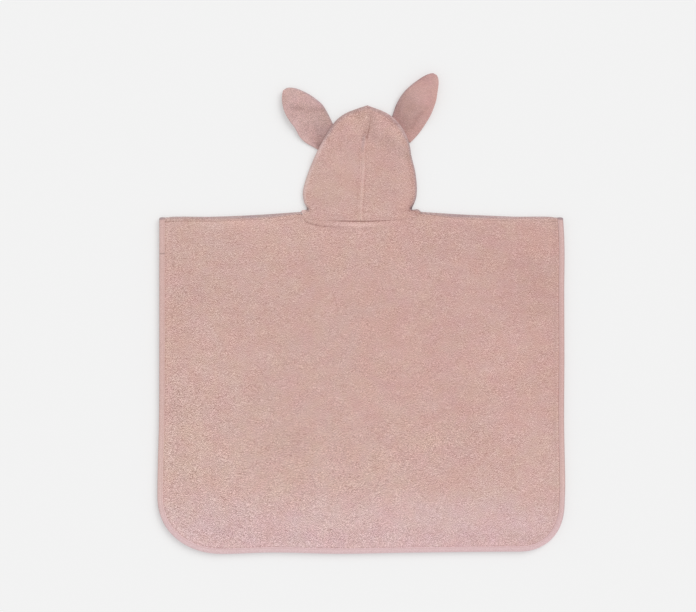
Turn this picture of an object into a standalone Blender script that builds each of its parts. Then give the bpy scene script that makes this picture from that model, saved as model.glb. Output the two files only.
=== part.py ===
"""A child's hooded bath poncho in terry cloth, laid flat on its front.

The front panel lies lowest and rolls over both shoulders to the shoulder seams.  The back
panel lies on it, the hood lies beyond the neckline with its face opening underneath, and the
two ears come out from under the hood's edge.  One length of tape binds the whole edge.

X runs to the right, Y towards the hood, Z up, and the cloth rests on Z = 0.  Sizes below are
in millimetres, and each mesh is written in metres.
"""
import bpy
import numpy as np

MM = 0.001

# Walls and clearances.
WALL = 3.0                 # terry cloth
BOUND_WALL = 1.4           # terry pressed flat inside the tape
EAR_WALL = 2.0
TAPE_WALL = 1.0
TAPE_WIDTH = 9.0
GAP = 0.3                  # between two pieces at a seam
HALF_GAP = GAP / 2


def table(columns, *rows):
    """A short table as one array for each named column; its first column is what it runs over."""
    return dict(zip(columns.split(), np.array(rows, float).T))


# Body outline, seen from above.
HALF_WIDTH = 300.0
HEM_Y = -355.0
LENGTH = 500.0             # hem to shoulder, before the top edge is fitted to its curve
CORNER_POWER = 2.2         # a hem corner is a little squarer than an ellipse
CORNERS = {-1: (99.0, 86.0), 1: (68.0, 71.0)}    # side: reach along the hem, reach up the side

# How far each side edge lies outside HALF_WIDTH, and how far the hem lies above HEM_Y.
SIDES = table(
    "height left_out right_out",
    (-355, 2.0, 1.2),
    (-290, 2.0, 1.2),
    (-255, 2.0, 2.3),
    (-215, 1.2, 1.6),
    (-175, 0.0, 0.8),
    (-60, -0.8, 1.1),
    (30, -0.8, 0.8),
    (115, -0.8, 0.7),
    (150, -0.8, -1.5),
)
HEM = table(
    "across rise",
    (-300, -0.9),
    (-194, -0.9),
    (-140, 1.0),
    (-31, -0.8),
    (58, 0.7),
    (117, 1.5),
    (192, 2.2),
    (300, 2.5),
)
# Top edge, where the front panel folds over.
SHOULDER = table(
    "across height",
    (-300, 142.6),
    (-283, 143.6),
    (-224, 143.8),
    (-165, 146.0),
    (-120, 148.8),
    (-90, 150.9),
    (90, 150.9),
    (132, 148.2),
    (180, 145.8),
    (227, 144.0),
    (283, 143.6),
    (300, 142.4),
)
SEAM_DROP_NECK = 3.6       # shoulder seam below the top edge, at the neck and further out
SEAM_DROP_OUT = 7.0
SEAM_DROP_REACH = 60.0

# Neckline.  Both necklines and the hood's neck edge share these stations across.
NECK_HALF = 90.0
NECK_SHARES = np.array([0.0, 0.08, 0.2, 0.4, 0.6, 0.8, 0.93, 1.0])
BACK_NECK_DROP = 10.5
FRONT_NECK_DROP = 57.0
NECK_BAND = 7.0            # seam allowance that lifts the back panel along the neck seam
NECK_BAND_RISE = 0.8

# Hood outline, seen from above: a row for each section across it.
HOOD = table(
    "height left right",
    (154.3, -81.3, 76.0),
    (163, -84.0, 78.6),
    (174, -86.4, 81.9),
    (186, -85.6, 82.6),
    (200, -81.8, 81.6),
    (215, -76.6, 79.2),
    (233, -68.8, 74.6),
    (250, -60.4, 71.6),
    (263, -53.4, 67.4),
    (276, -45.2, 60.4),
    (288, -35.4, 50.2),
    (297, -23.2, 37.8),
    (304.6, -4.6, 21.0),
)
APEX = (9.2, 309.1)
NECK_FLARE = {-1: (-85.0, 152.2), 1: (85.2, 154.4)}    # where the hood's base spreads to the neck
# Centre seam, from the neck to the crown.
SEAM = table(
    "height across",
    (136, -1.0),
    (155, -0.6),
    (183, 1.0),
    (212, 2.8),
    (242, 3.3),
    (260, 5.4),
    (280, 8.2),
    (297, 9.6),
    (309.1, 9.2),
)
SEAM_TOP = 297.0           # where the seam starts to turn over the crown
FACE_HALF = 42.0           # face opening, under the hood: sin^FACE_POWER times this half width
FACE_POWER = 0.8
FOREHEAD = (2.0, 262.0)
LOFT_NECK = 0.3            # air between the hood's two layers
LOFT = 0.8
HOOD_STEPS = 19
PINCH_SHARE = 0.045        # share of the hood's edge that lies below the pinch
NECK_TUCK = 0.6            # the hood's fold starts this far below the shoulder's top edge
LOFT_START = 147.0         # the loft grows from this height over this distance
LOFT_REACH = 40.0
SWELL_START = 140.0        # so do the hood's swells
SWELL_REACH = 25.0
FOLD_CALM = 0.25           # and they die out over this share of the way to the fold
FOLD_STEPS = 6
# Soft swells of the hood's upper layer and of the back panel.
HOOD_FOLDS = table(
    "across height reach_across reach_up rise",
    (21, 279, 8, 24, 2.0),
    (-14, 276, 14, 26, 1.1),
    (-48, 205, 22, 40, 0.8),
    (50, 200, 20, 44, 0.9),
    (2, 200, 4, 62, 0.7),
)
BACK_FOLDS = table(
    "across height reach_across reach_up rise",
    (-150, 40, 90, 60, 1.2),
    (60, 20, 120, 50, 0.9),
    (190, -90, 60, 110, 1.3),
    (-60, -150, 130, 55, 1.4),
    (-200, -220, 60, 70, 0.9),
    (120, -260, 110, 50, 1.3),
    (-10, 85, 70, 22, 0.8),
)
FOLD_MARGIN = 45.0         # the swells die out over this distance from an edge

# Ears.  Half widths along one, each times the round of the tip, sqrt(1 - share^2).
EAR_WIDTHS = table(
    "share left_inner left_outer right_inner right_outer",
    (-0.1, 17.0, 20.5, 17.5, 21.0),
    (0.0, 19.5, 23.5, 20.0, 23.3),
    (0.13, 23.0, 28.0, 22.5, 25.6),
    (0.27, 27.0, 29.8, 26.4, 27.2),
    (0.41, 30.6, 28.2, 28.9, 28.7),
    (0.54, 31.2, 29.8, 29.8, 29.1),
    (0.67, 31.4, 31.2, 29.0, 29.0),
    (0.79, 30.6, 31.0, 27.4, 27.2),
    (0.89, 30.4, 29.0, 26.3, 27.2),
    (1.0, 28.0, 23.0, 24.0, 28.0),
)
# Where each base meets the hood's edge, where each tip lies, and how an ear rises.
EARS = {
    -1: dict(base=(-53.9, 263.0), tip=(-114.0, 332.8), middle=1.5, outer=6.0),
    1: dict(base=(58.9, 271.9), tip=(109.4, 355.2), middle=6.5, outer=1.0),
}
EAR_TUCK = 0.09            # share of its length that lies under the hood
EAR_TIP_SHARE = 0.994
EAR_ROUND = 1.0            # how far an ear's edge curves towards its seam
EAR_EDGE = 0.35            # over this share of its half width
EAR_PUFF = 1.4             # air inside, which dies out over this share before the tip
EAR_TAPER = 0.25
EAR_CLEAR = 0.06           # past this share the ear is clear of the hood
EAR_RISE = 0.5             # and it reaches its full rise over this share more
EAR_STEPS = 13
EAR_STATIONS = np.array([-1.0, -0.93, -0.7, -0.35, 0.0, 0.35, 0.7, 0.93, 1.0])
EAR_BASE_HALF = 20.0
EAR_BEARING = 14.0         # the hood keeps its full lift this near an ear's base
EAR_SLOPE = 24.0           # and comes down to the floor over this distance

# Grid lines of the body panels, as distances in from an edge.
RAW_EDGE = TAPE_WALL + GAP
PRESSED = 10.5             # the tape presses the terry flat this far in
FULL = 17.0                # and it is full again here
SIDE_LINES = {-1: (32, 48, 64, 80, 99, 136, 173), 1: (28, 40, 54, 68, 103, 139, 175)}
HEM_LINES = (30, 44, 58, 72, 86, 130, 180, 230, 280, 330, 380, 430, 468)

# Tape.
TAPE_JOIN = 448.5          # the join, up the left side of the back
TAPE_CORNER_STEPS = 6      # to each half of a corner
TAPE_CORNER_CLEAR = 5.0    # the first station above the right corner is this far clear of it
TAPE_BEND = ((0.3, 0.8), (0.0, 0.3))     # outer bend: shares of the wall in, of the half stack up

# Levels that follow from the walls.
FOLD_OUTER = WALL + HALF_GAP                     # radius of the shoulder roll
FOLD_INNER = HALF_GAP
BACK_Z = WALL + GAP
EAR_HEIGHT = 2 * EAR_WALL + GAP
HOOD_LIFT = EAR_HEIGHT + GAP
BOUND_STACK = 2 * TAPE_WALL + 2 * GAP + BOUND_WALL
BOUND_OUTER = BOUND_STACK + HALF_GAP             # radius of the tape round the shoulder
BOUND_MIDDLE = (BOUND_STACK + GAP) / 2

COLOURS = {
    "terry": (0.604, 0.392, 0.352, 1.0),
    "ear": (0.56, 0.36, 0.33, 1.0),
    "tape": (0.638, 0.421, 0.388, 1.0),
}


# ---------------------------------------------------------------- small helpers
def smooth(x):
    """Smooth step: 0 below 0, 1 above 1, 3x^2 - 2x^3 between."""
    x = np.clip(x, 0.0, 1.0)
    return x * x * (3 - 2 * x)


def curve(at, knots, values):
    """Cubic Hermite curve through values at knots, slopes by central differences."""
    slopes = np.gradient(values, knots)
    at = np.clip(at, knots[0], knots[-1])
    i = np.clip(np.searchsorted(knots, at) - 1, 0, len(knots) - 2)
    step = knots[i + 1] - knots[i]
    t = (at - knots[i]) / step
    return ((2 * t**3 - 3 * t**2 + 1) * values[i] + (t**3 - 2 * t**2 + t) * step * slopes[i]
            + (3 * t**2 - 2 * t**3) * values[i + 1] + (t**3 - t**2) * step * slopes[i + 1])


def swells(x, y, folds):
    """Sum of soft round swells: rise * exp(-(dx / reach_across)^2 - (dy / reach_up)^2)."""
    away_x = (x[..., None] - folds["across"]) / folds["reach_across"]
    away_y = (y[..., None] - folds["height"]) / folds["reach_up"]
    return (folds["rise"] * np.exp(-away_x**2 - away_y**2)).sum(axis=-1)


# ---------------------------------------------------------------- meshes
def material(kind):
    """The Principled material of one kind of cloth."""
    found = bpy.data.materials.get(kind)
    if found:
        return found
    made = bpy.data.materials.new(kind)
    made.use_nodes = True
    shader = made.node_tree.nodes["Principled BSDF"]
    shader.inputs["Base Color"].default_value = COLOURS[kind]
    shader.inputs["Roughness"].default_value = 0.95
    shader.inputs["Metallic"].default_value = 0.0
    return made


def add_piece(name, points, faces, kind):
    """One closed piece from points in millimetres."""
    mesh = bpy.data.meshes.new(name)
    mesh.from_pydata((np.asarray(points) * MM).tolist(), [], [list(map(int, f)) for f in faces])
    mesh.validate()
    mesh.shade_smooth()
    mesh.materials.append(material(kind))
    piece = bpy.data.objects.new(name, mesh)
    bpy.context.collection.objects.link(piece)


def grid_quads(ids):
    """Quads between neighbours of a grid of point numbers."""
    return np.stack([ids[:-1, :-1], ids[1:, :-1], ids[1:, 1:], ids[:-1, 1:]], -1).reshape(-1, 4)


def turned(quads):
    """The quads turned over, each with its first and third corner kept, so it splits alike."""
    return quads[:, [0, 3, 2, 1]]


def wall_solid(name, face, back, quads, kind):
    """A closed wall: the face's quads, the back's quads turned over, and a strip round the rim.

    The quads run anticlockwise seen from the face side.  An edge used by one quad is the rim,
    and grid points that no quad uses are left out.
    """
    used, quads = np.unique(quads, return_inverse=True)
    quads = quads.reshape(-1, 4)
    face, back = face.reshape(-1, 3)[used], back.reshape(-1, 3)[used]
    count = len(face)
    edges = np.concatenate([quads[:, [k, (k + 1) % 4]] for k in range(4)])
    keys = np.sort(edges, axis=1)
    _, first, uses = np.unique(keys, axis=0, return_index=True, return_counts=True)
    rim = edges[first[uses == 1]]
    strip = np.stack([rim[:, 1], rim[:, 0], rim[:, 0] + count, rim[:, 1] + count], -1)
    faces = np.concatenate([quads, turned(quads) + count, strip])
    corners = np.concatenate([faces[:, [0, 1, 2]], faces[:, [0, 2, 3]]])
    add_piece(name, np.concatenate([face, back]), corners, kind)


# ---------------------------------------------------------------- the body's plan
def plan(across, up, top):
    """Lay a square sheet out as the body: round the hem corners, then fit hem, top and sides.

    In a corner, a line at one distance in from the edge is a superellipse about the corner's
    centre, and a point's share of the way from the corner's middle gives its angle.
    """
    x, y = across.astype(float).copy(), up.astype(float).copy()
    for side, (reach_x, reach_y) in CORNERS.items():
        a, b = HALF_WIDTH - side * across, up.astype(float)
        corner = (a < reach_x) & (b < reach_y)
        inset = np.minimum(a, b)
        up_share = (b - inset) / np.where(corner, reach_y - inset, 1)
        along_share = (a - inset) / np.where(corner, reach_x - inset, 1)
        angle = np.pi / 4 * np.where(b >= a, 1 - up_share, 1 + along_share)
        power = 2 / CORNER_POWER
        round_x = HALF_WIDTH - reach_x + (reach_x - inset) * np.cos(angle).clip(0)**power
        round_y = reach_y - (reach_y - inset) * np.sin(angle).clip(0)**power
        x = np.where(corner, side * round_x, x)
        y = np.where(corner, round_y, y)
    share = y / LENGTH
    y = y + HEM_Y + curve(x, HEM["across"], HEM["rise"]) * (1 - share)
    y = y + (top(x) - HEM_Y - LENGTH) * share**2
    out = np.where(x < 0, curve(y, SIDES["height"], SIDES["left_out"]),
                   curve(y, SIDES["height"], SIDES["right_out"]))
    neck = NECK_HALF + HALF_GAP
    past_neck = np.clip((np.abs(x) - neck) / (HALF_WIDTH - neck), 0, None)
    return x + np.sign(x) * out * past_neck, y


def pressed(inset):
    """1 where the tape presses the terry flat, 0 where it is full."""
    return smooth((FULL - inset) / (FULL - PRESSED))


def top_edge(x):
    """Height of the body's top edge."""
    return curve(x, SHOULDER["across"], SHOULDER["height"])


def roll_centre(x):
    """Height of the shoulder roll's centre line: its radius below the top edge."""
    bound = pressed(HALF_WIDTH - np.abs(x))
    radius = FOLD_OUTER + (BOUND_OUTER - FOLD_OUTER) * bound
    return top_edge(x) - radius


def shoulder_seam(x):
    """Height of the shoulder seam: its drop below the top edge grows away from the neck."""
    away = smooth((np.abs(x) - NECK_HALF) / SEAM_DROP_REACH)
    drop = SEAM_DROP_NECK + (SEAM_DROP_OUT - SEAM_DROP_NECK) * away
    return top_edge(x) - drop


def round_of(x, half):
    """sqrt(1 - (x / half)^2), and 0 past the neck points."""
    return np.sqrt(np.clip(1 - (x / half)**2, 0, None))


def front_top(x):
    """Front panel's flat top: the roll's centre line, or the front neckline, half an ellipse."""
    half, drop = NECK_HALF + HALF_GAP, FRONT_NECK_DROP + HALF_GAP
    neck = roll_centre(half) - drop * round_of(x, half)
    return np.where(np.abs(x) < NECK_HALF, neck, roll_centre(x))


def back_neck(x):
    """Back neckline: the neck point's height less the drop times the fourth root of the round."""
    return shoulder_seam(NECK_HALF) - BACK_NECK_DROP * np.sqrt(round_of(x, NECK_HALF))


def back_top(x):
    """Back panel's top: the shoulder seams and, between the neck points, the back neckline."""
    return np.where(np.abs(x) < NECK_HALF, back_neck(x), shoulder_seam(x)) - HALF_GAP


def body_lines():
    """Grid lines across and up that both body panels share."""
    neck = (NECK_HALF + HALF_GAP) * NECK_SHARES
    left = [HALF_WIDTH - d for d in (RAW_EDGE, PRESSED, FULL) + SIDE_LINES[-1]]
    right = [HALF_WIDTH - d for d in (RAW_EDGE, PRESSED, FULL) + SIDE_LINES[1]]
    across = np.concatenate([-np.array(left), -neck[::-1], neck[1:], np.array(right)[::-1]])
    up = np.array((RAW_EDGE, PRESSED, FULL) + HEM_LINES
                  + (LENGTH - 2 * NECK_BAND, LENGTH - NECK_BAND, LENGTH))
    return np.meshgrid(across, up, indexing="ij")


def inset_of(across, up):
    """Distance in from the sides and the hem."""
    return np.minimum(HALF_WIDTH - np.abs(across), up)


# ---------------------------------------------------------------- body panels
def front_panel():
    """Lowest sheet, with a wing that rolls over each shoulder to the shoulder seam."""
    across, up = body_lines()
    x, y = plan(across, up, front_top)
    flat = pressed(inset_of(across, up))
    lower = np.stack([x, y, RAW_EDGE * flat], -1)
    upper = np.stack([x, y, WALL + (RAW_EDGE + BOUND_WALL - WALL) * flat], -1)

    bound = pressed(HALF_WIDTH - np.abs(across[:, :1]))
    outer = FOLD_OUTER + (RAW_EDGE + BOUND_WALL - WALL) * bound
    inner = FOLD_INNER + RAW_EDGE * bound
    centre_z = FOLD_OUTER + (BOUND_OUTER - FOLD_OUTER) * bound
    angle = np.linspace(-np.pi / 2, np.pi / 2, FOLD_STEPS + 1)[1:]
    rim_x = np.repeat(x[:, -1:], FOLD_STEPS, axis=1)
    centre_y = y[:, -1:]
    seam_y = shoulder_seam(x[:, -1:]) + HALF_GAP

    def roll(radius):
        return np.stack([rim_x, centre_y + radius * np.cos(angle),
                         centre_z + radius * np.sin(angle)], -1)

    def turned_back(radius):
        return np.stack([x[:, -1:], seam_y, centre_z + radius], -1)

    face = np.concatenate([lower, roll(outer), turned_back(outer)], axis=1)
    back = np.concatenate([upper, roll(inner), turned_back(inner)], axis=1)
    ids = np.arange(face.shape[0] * face.shape[1]).reshape(face.shape[:2])
    flat_rows = across.shape[1]
    left, right = np.flatnonzero(np.abs(across[:, 0]) < NECK_HALF + GAP)[[0, -1]]
    quads = np.concatenate([
        grid_quads(ids[:, :flat_rows]),
        grid_quads(ids[:left + 1, flat_rows - 1:]),
        grid_quads(ids[right:, flat_rows - 1:]),
    ])
    wall_solid("front_panel", face, back, turned(quads), "terry")


def back_panel():
    """Upper sheet, from the shoulder seams and the neck seam to the hem."""
    across, up = body_lines()
    x, y = plan(across, up, back_top)
    flat = pressed(inset_of(across, up))
    margin = np.minimum(inset_of(across, up), LENGTH - up)
    swell = swells(x, y, BACK_FOLDS) * smooth((margin - NECK_BAND) / FOLD_MARGIN)
    near_neck = smooth((NECK_HALF + NECK_BAND - np.abs(across)) / NECK_BAND)
    band = NECK_BAND_RISE * near_neck * smooth(2 - (LENGTH - up) / NECK_BAND)
    stack = BOUND_STACK + GAP + RAW_EDGE
    lower = BACK_Z + (stack - BACK_Z) * flat + swell
    thick = WALL + (BOUND_WALL - WALL) * flat + band
    face = np.stack([x, y, lower + thick], -1)
    back = np.stack([x, y, lower], -1)
    ids = np.arange(x.size).reshape(x.shape)
    wall_solid("back_panel", face, back, grid_quads(ids), "terry")


# ---------------------------------------------------------------- binding tape
def rim_stations(inset):
    """Square-sheet places at one inset, from the left shoulder round the hem to the right one.

    The straight stretches use the panels' own grid lines, so the tape bends where they bend.
    Returns across, up, and the number of the first station past the tape's join.
    """
    share = np.linspace(0, 1, TAPE_CORNER_STEPS + 1)
    lines = np.array(HEM_LINES, float)

    def corner(reach_x, reach_y):
        """Insets and heights down a corner's side half and then along its hem half."""
        down = inset + (reach_y - inset) * (1 - share)
        along = inset + (reach_x - inset) * share
        still = np.full_like(share, inset)
        return np.concatenate([still, along[1:]]), np.concatenate([down, still[1:]])

    left_in, left_up = corner(*CORNERS[-1])
    right_in, right_up = corner(*CORNERS[1])
    above = np.array([LENGTH, lines[-1], TAPE_JOIN + HALF_GAP])
    below = lines[(lines > CORNERS[-1][1]) & (lines < TAPE_JOIN)][::-1]
    below = np.concatenate([[TAPE_JOIN - HALF_GAP], below])
    side_up = np.append(lines[lines > CORNERS[1][1] + TAPE_CORNER_CLEAR], LENGTH)
    neck = (NECK_HALF + HALF_GAP) * NECK_SHARES[-1:1:-2]
    hem = np.concatenate([np.array(SIDE_LINES[-1][-2:]) - HALF_WIDTH, -neck, neck[::-1],
                          HALF_WIDTH - np.array(SIDE_LINES[1][:-4:-1])])
    outer = HALF_WIDTH - inset
    across = np.concatenate([np.full(len(above) + len(below), -outer), left_in - HALF_WIDTH, hem,
                             HALF_WIDTH - right_in[::-1], np.full(len(side_up), outer)])
    up = np.concatenate([above, below, left_up, np.full(len(hem), inset), right_up[::-1],
                         side_up])
    return across, up, len(above)


def tape_section():
    """The tape's U: inset from the outline, and height along the panel's outer normal."""
    outside, inside = BOUND_STACK / 2, BOUND_WALL / 2 + GAP
    upper = [(TAPE_WALL, inside), (TAPE_WIDTH, inside), (TAPE_WIDTH, outside), (TAPE_WALL, outside)]
    upper += [(TAPE_WALL * wall, outside * half) for wall, half in TAPE_BEND]
    return [(inset, -height) for inset, height in upper] + upper[::-1]


def edge_binding():
    """Tape of one U section round the back's edge, over both shoulders and round the front's."""
    rings = []
    for inset, height in tape_section():
        across, up, join = rim_stations(inset)
        x, y = plan(across, up, roll_centre)
        back_z = BOUND_OUTER + BOUND_MIDDLE + height
        front_z = BOUND_OUTER - BOUND_MIDDLE - height
        back = np.stack([x, y, np.full_like(x, back_z)], -1)
        front = np.stack([x, y, np.full_like(x, front_z)], -1)
        angle = np.linspace(np.pi / 2, -np.pi / 2, FOLD_STEPS + 1)[1:-1]
        radius = BOUND_MIDDLE + height
        rolls = [np.stack([np.full_like(angle, x[k]), y[k] + radius * np.cos(angle),
                           BOUND_OUTER + radius * np.sin(angle)], -1) for k in (-1, 0)]
        rings.append(np.concatenate([back[join:], rolls[0], front[::-1], rolls[1][::-1],
                                     back[:join]]))
    points = np.stack(rings, axis=1)
    stations, around = points.shape[:2]
    ids = np.arange(stations * around).reshape(stations, around)
    quads = grid_quads(np.concatenate([ids, ids[:, :1]], axis=1))
    caps = [ids[0].tolist(), ids[-1][::-1].tolist()]
    add_piece("edge_binding", points.reshape(-1, 3), quads.tolist() + caps, "tape")


# ---------------------------------------------------------------- hood
def ear_distance(x, y):
    """Distance from the nearest ear's base line, which lies along the hood's edge."""
    nearest = np.full(np.broadcast(x, y).shape, np.inf)
    for side, ear in EARS.items():
        base, tip = np.array(ear["base"]), np.array(ear["tip"])
        axis = (tip - base) / np.hypot(*(tip - base))
        cross = np.array([axis[1], -axis[0]])
        along = (x - base[0]) * cross[0] + (y - base[1]) * cross[1]
        along = np.clip(along, -EAR_BASE_HALF, EAR_BASE_HALF)
        nearest = np.minimum(nearest, np.hypot(x - base[0] - along * cross[0],
                                               y - base[1] - along * cross[1]))
    return nearest


def hood_lift(x, y):
    """Height of the hood's underside: clear of the ears at their bases, on the floor elsewhere."""
    reach = EAR_BEARING + EAR_SLOPE
    return HOOD_LIFT * smooth((reach - ear_distance(x, y)) / EAR_SLOPE)


def hood_loft(y):
    """Air between the hood's layers, least at the neck."""
    return LOFT_NECK + (LOFT - LOFT_NECK) * smooth((y - LOFT_START) / LOFT_REACH)


def hood_rim(side):
    """Hood's edge from the neck point past the pinch to the crown, with outward directions."""
    edge = np.stack([HOOD["left" if side < 0 else "right"], HOOD["height"]], -1)
    edge = np.concatenate([edge, [APEX]])
    run = np.concatenate([[0.0], np.cumsum(np.hypot(*np.diff(edge, axis=0).T))])
    at = np.linspace(0, run[-1], HOOD_STEPS)
    rim = np.stack([curve(at, run, edge[:, 0]), curve(at, run, edge[:, 1])], -1)
    neck = side * (NECK_HALF - HALF_GAP), top_edge(NECK_HALF) - NECK_TUCK
    rim = np.concatenate([[neck, NECK_FLARE[side]], rim])
    rim[-1] = APEX[0] + side * HALF_GAP, APEX[1]
    along = np.gradient(rim, axis=0)
    out = np.stack([along[:, 1], -along[:, 0]], -1) * side
    out[-1] = 0, 1
    return rim, out / np.hypot(*out.T)[:, None]


def hood_half(side):
    """Half a hood: from the centre seam over the upper side, round the fold, to the face edge.

    A row runs from the seam to the edge's fold and back underneath to the face opening.  The
    first row is the neck edge, the last runs along the seam over the crown to the forehead.
    """
    rim, out = hood_rim(side)
    share = np.concatenate([[0.0, PINCH_SHARE / 2], np.linspace(PINCH_SHARE, 1, HOOD_STEPS)])
    fade = (1 - share[:, None, None])**3
    loft = hood_loft(rim[:, 1])
    outer = WALL + loft / 2
    fold = rim - out * outer[:, None]

    seam_low = back_neck(0.0) + HALF_GAP
    seam_y = seam_low + (SEAM_TOP - seam_low) * share
    seam_x = curve(seam_y, SEAM["height"], SEAM["across"]) + side * HALF_GAP
    seam = np.stack([seam_x, seam_y], -1)
    half = NECK_HALF - HALF_GAP
    neck_x = side * half * NECK_SHARES[:-1]
    neck_x[0] = seam[0, 0]
    neck_back = np.stack([neck_x, back_neck(neck_x) + HALF_GAP], -1)
    neck_back = np.concatenate([neck_back, fold[:1]])
    t = NECK_SHARES[None, :, None]
    upper = seam[:, None] * (1 - t) + fold[:, None] * t
    upper = upper + fade * (neck_back - upper[0])

    neck_top = roll_centre(NECK_HALF + HALF_GAP)
    neck_drop = FRONT_NECK_DROP - HALF_GAP
    face_share = share**FACE_POWER
    face_y = neck_top - neck_drop + (FOREHEAD[1] - neck_top + neck_drop) * face_share
    face_half = FACE_HALF * np.sin(np.pi * face_share).clip(0)**FACE_POWER
    face = np.stack([FOREHEAD[0] * face_share + side * (HALF_GAP + face_half), face_y], -1)
    under_shares = 1 - NECK_SHARES[::-1]
    front_x = side * half * NECK_SHARES[::-1]
    front_x[-1] = side * HALF_GAP
    neck_front = np.stack([front_x, neck_top - neck_drop * round_of(front_x, half)], -1)
    neck_front[0] = fold[0]
    t = under_shares[None, :, None]
    under = fold[:, None] * (1 - t) + face[:, None] * t
    under = under + fade * (neck_front - under[0])

    x, y = upper[..., 0], upper[..., 1]
    calm = smooth((1 - NECK_SHARES) / FOLD_CALM) * smooth((y - SWELL_START) / SWELL_REACH)
    swell = swells(x, y, HOOD_FOLDS) * calm
    inside_z = hood_lift(x, y) + WALL + hood_loft(y) + swell
    top_face = np.stack([x, y, inside_z + WALL], -1)
    top_back = np.stack([x, y, inside_z], -1)

    angle = np.linspace(np.pi / 2, -np.pi / 2, FOLD_STEPS + 1)[None, 1:-1]
    middle_z = (hood_lift(*fold.T) + WALL + loft / 2)[:, None]

    def roll(radius):
        reach = radius[:, None] * np.cos(angle)
        place = fold[:, None] + out[:, None] * reach[..., None]
        return np.concatenate([place, (middle_z + radius[:, None] * np.sin(angle))[..., None]], -1)

    x, y = under[..., 0], under[..., 1]
    floor_z = hood_lift(x, y)
    low_face = np.stack([x, y, floor_z], -1)
    low_back = np.stack([x, y, floor_z + WALL], -1)

    face = np.concatenate([top_face, roll(outer), low_face], axis=1)
    back = np.concatenate([top_back, roll(outer - WALL), low_back], axis=1)
    ids = np.arange(face.shape[0] * face.shape[1]).reshape(face.shape[:2])
    quads = grid_quads(ids)
    if side > 0:
        quads = turned(quads)
    wall_solid("hood_left" if side < 0 else "hood_right", face, back, quads, "terry")


# ---------------------------------------------------------------- ears
def ear(side):
    """Two leaf-shaped pieces, one on the other, seamed round the edge.

    The half widths come from the table, each side times sqrt(1 - share^2).  Each piece is a
    thin wall that curves towards the seam at its edge and swells away from it in the middle.
    """
    lie = EARS[side]
    base, tip = np.array(lie["base"]), np.array(lie["tip"])
    length = np.hypot(*(tip - base))
    axis = (tip - base) / length
    outward = np.array([axis[1], -axis[0]]) * side
    turn = np.linspace(np.arcsin(-EAR_TUCK), np.arcsin(EAR_TIP_SHARE), EAR_STEPS + 1)
    share = np.sin(turn)[:, None]
    word = "left" if side < 0 else "right"
    inner = curve(share, EAR_WIDTHS["share"], EAR_WIDTHS[word + "_inner"])
    outer = curve(share, EAR_WIDTHS["share"], EAR_WIDTHS[word + "_outer"])
    tip_round = np.sqrt(1 - share**2)
    station = EAR_STATIONS[None, :]
    offset = np.where(station < 0, station * inner, station * outer) * tip_round
    x = base[0] + axis[0] * length * share + outward[0] * offset
    y = base[1] + axis[1] * length * share + outward[1] * offset

    clear = smooth((share - EAR_CLEAR) / EAR_RISE)
    puff = EAR_PUFF * clear * smooth((1 - share) / EAR_TAPER) * (1 - station**2)
    edge = EAR_ROUND * smooth(1 - (1 - np.abs(station)) / EAR_EDGE)
    rise = clear * (lie["middle"] + lie["outer"] * smooth((station + 1) / 2))
    ids = np.arange(x.size).reshape(x.shape)
    quads = grid_quads(ids)
    if side > 0:
        quads = turned(quads)

    def sheet(z):
        return np.stack([x, y, np.broadcast_to(z, x.shape)], -1)

    front_top = sheet(EAR_WALL + rise)
    front_low = sheet(edge + rise)
    wall_solid(f"ear_{word}_front", front_low, front_top, turned(quads), "ear")
    back_low = sheet(EAR_WALL + GAP + rise + puff)
    back_top_face = sheet(EAR_HEIGHT - edge + rise + puff)
    wall_solid(f"ear_{word}_back", back_top_face, back_low, quads, "ear")


def build():
    """Every piece of the poncho."""
    for old in list(bpy.data.objects):
        bpy.data.objects.remove(old, do_unlink=True)
    front_panel()
    back_panel()
    edge_binding()
    for side in (-1, 1):
        hood_half(side)
        ear(side)


build()
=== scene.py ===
"""Looks of a child's hooded bath poncho in terry cloth, laid flat on its front.

Every piece is a surface worked out on a grid of two parameters, in millimetres, from the same
sizes as the solids it stands for: X to the right, Y towards the hood, Z up.
"""

import bpy
import numpy as np
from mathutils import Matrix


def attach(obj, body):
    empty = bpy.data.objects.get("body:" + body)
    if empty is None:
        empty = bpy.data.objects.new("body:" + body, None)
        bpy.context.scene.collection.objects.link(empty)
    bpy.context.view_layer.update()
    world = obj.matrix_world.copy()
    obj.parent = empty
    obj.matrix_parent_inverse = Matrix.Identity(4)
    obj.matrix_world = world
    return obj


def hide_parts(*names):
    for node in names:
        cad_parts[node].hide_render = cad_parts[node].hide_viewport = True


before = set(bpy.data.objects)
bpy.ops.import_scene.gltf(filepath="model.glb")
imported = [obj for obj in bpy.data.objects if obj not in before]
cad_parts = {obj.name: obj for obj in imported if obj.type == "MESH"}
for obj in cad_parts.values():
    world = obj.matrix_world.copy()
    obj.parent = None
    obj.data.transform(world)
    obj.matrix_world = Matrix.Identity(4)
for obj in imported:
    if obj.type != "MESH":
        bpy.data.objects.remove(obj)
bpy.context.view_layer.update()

MM = 0.001


def table(columns, *rows):
    """A table as one array for each named column."""
    return dict(zip(columns.split(), np.array(rows, float).T))


# Walls and clearances, in millimetres.
WALL = 3.0  # terry cloth
BOUND_WALL = 1.4  # terry pressed flat inside the tape
EAR_WALL = 2.0
TAPE_WALL = 1.0
GAP = 0.3
HALF_GAP = GAP / 2
SEAM_HALF = 0.03  # half of the crack that shows at a sewn seam

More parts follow.
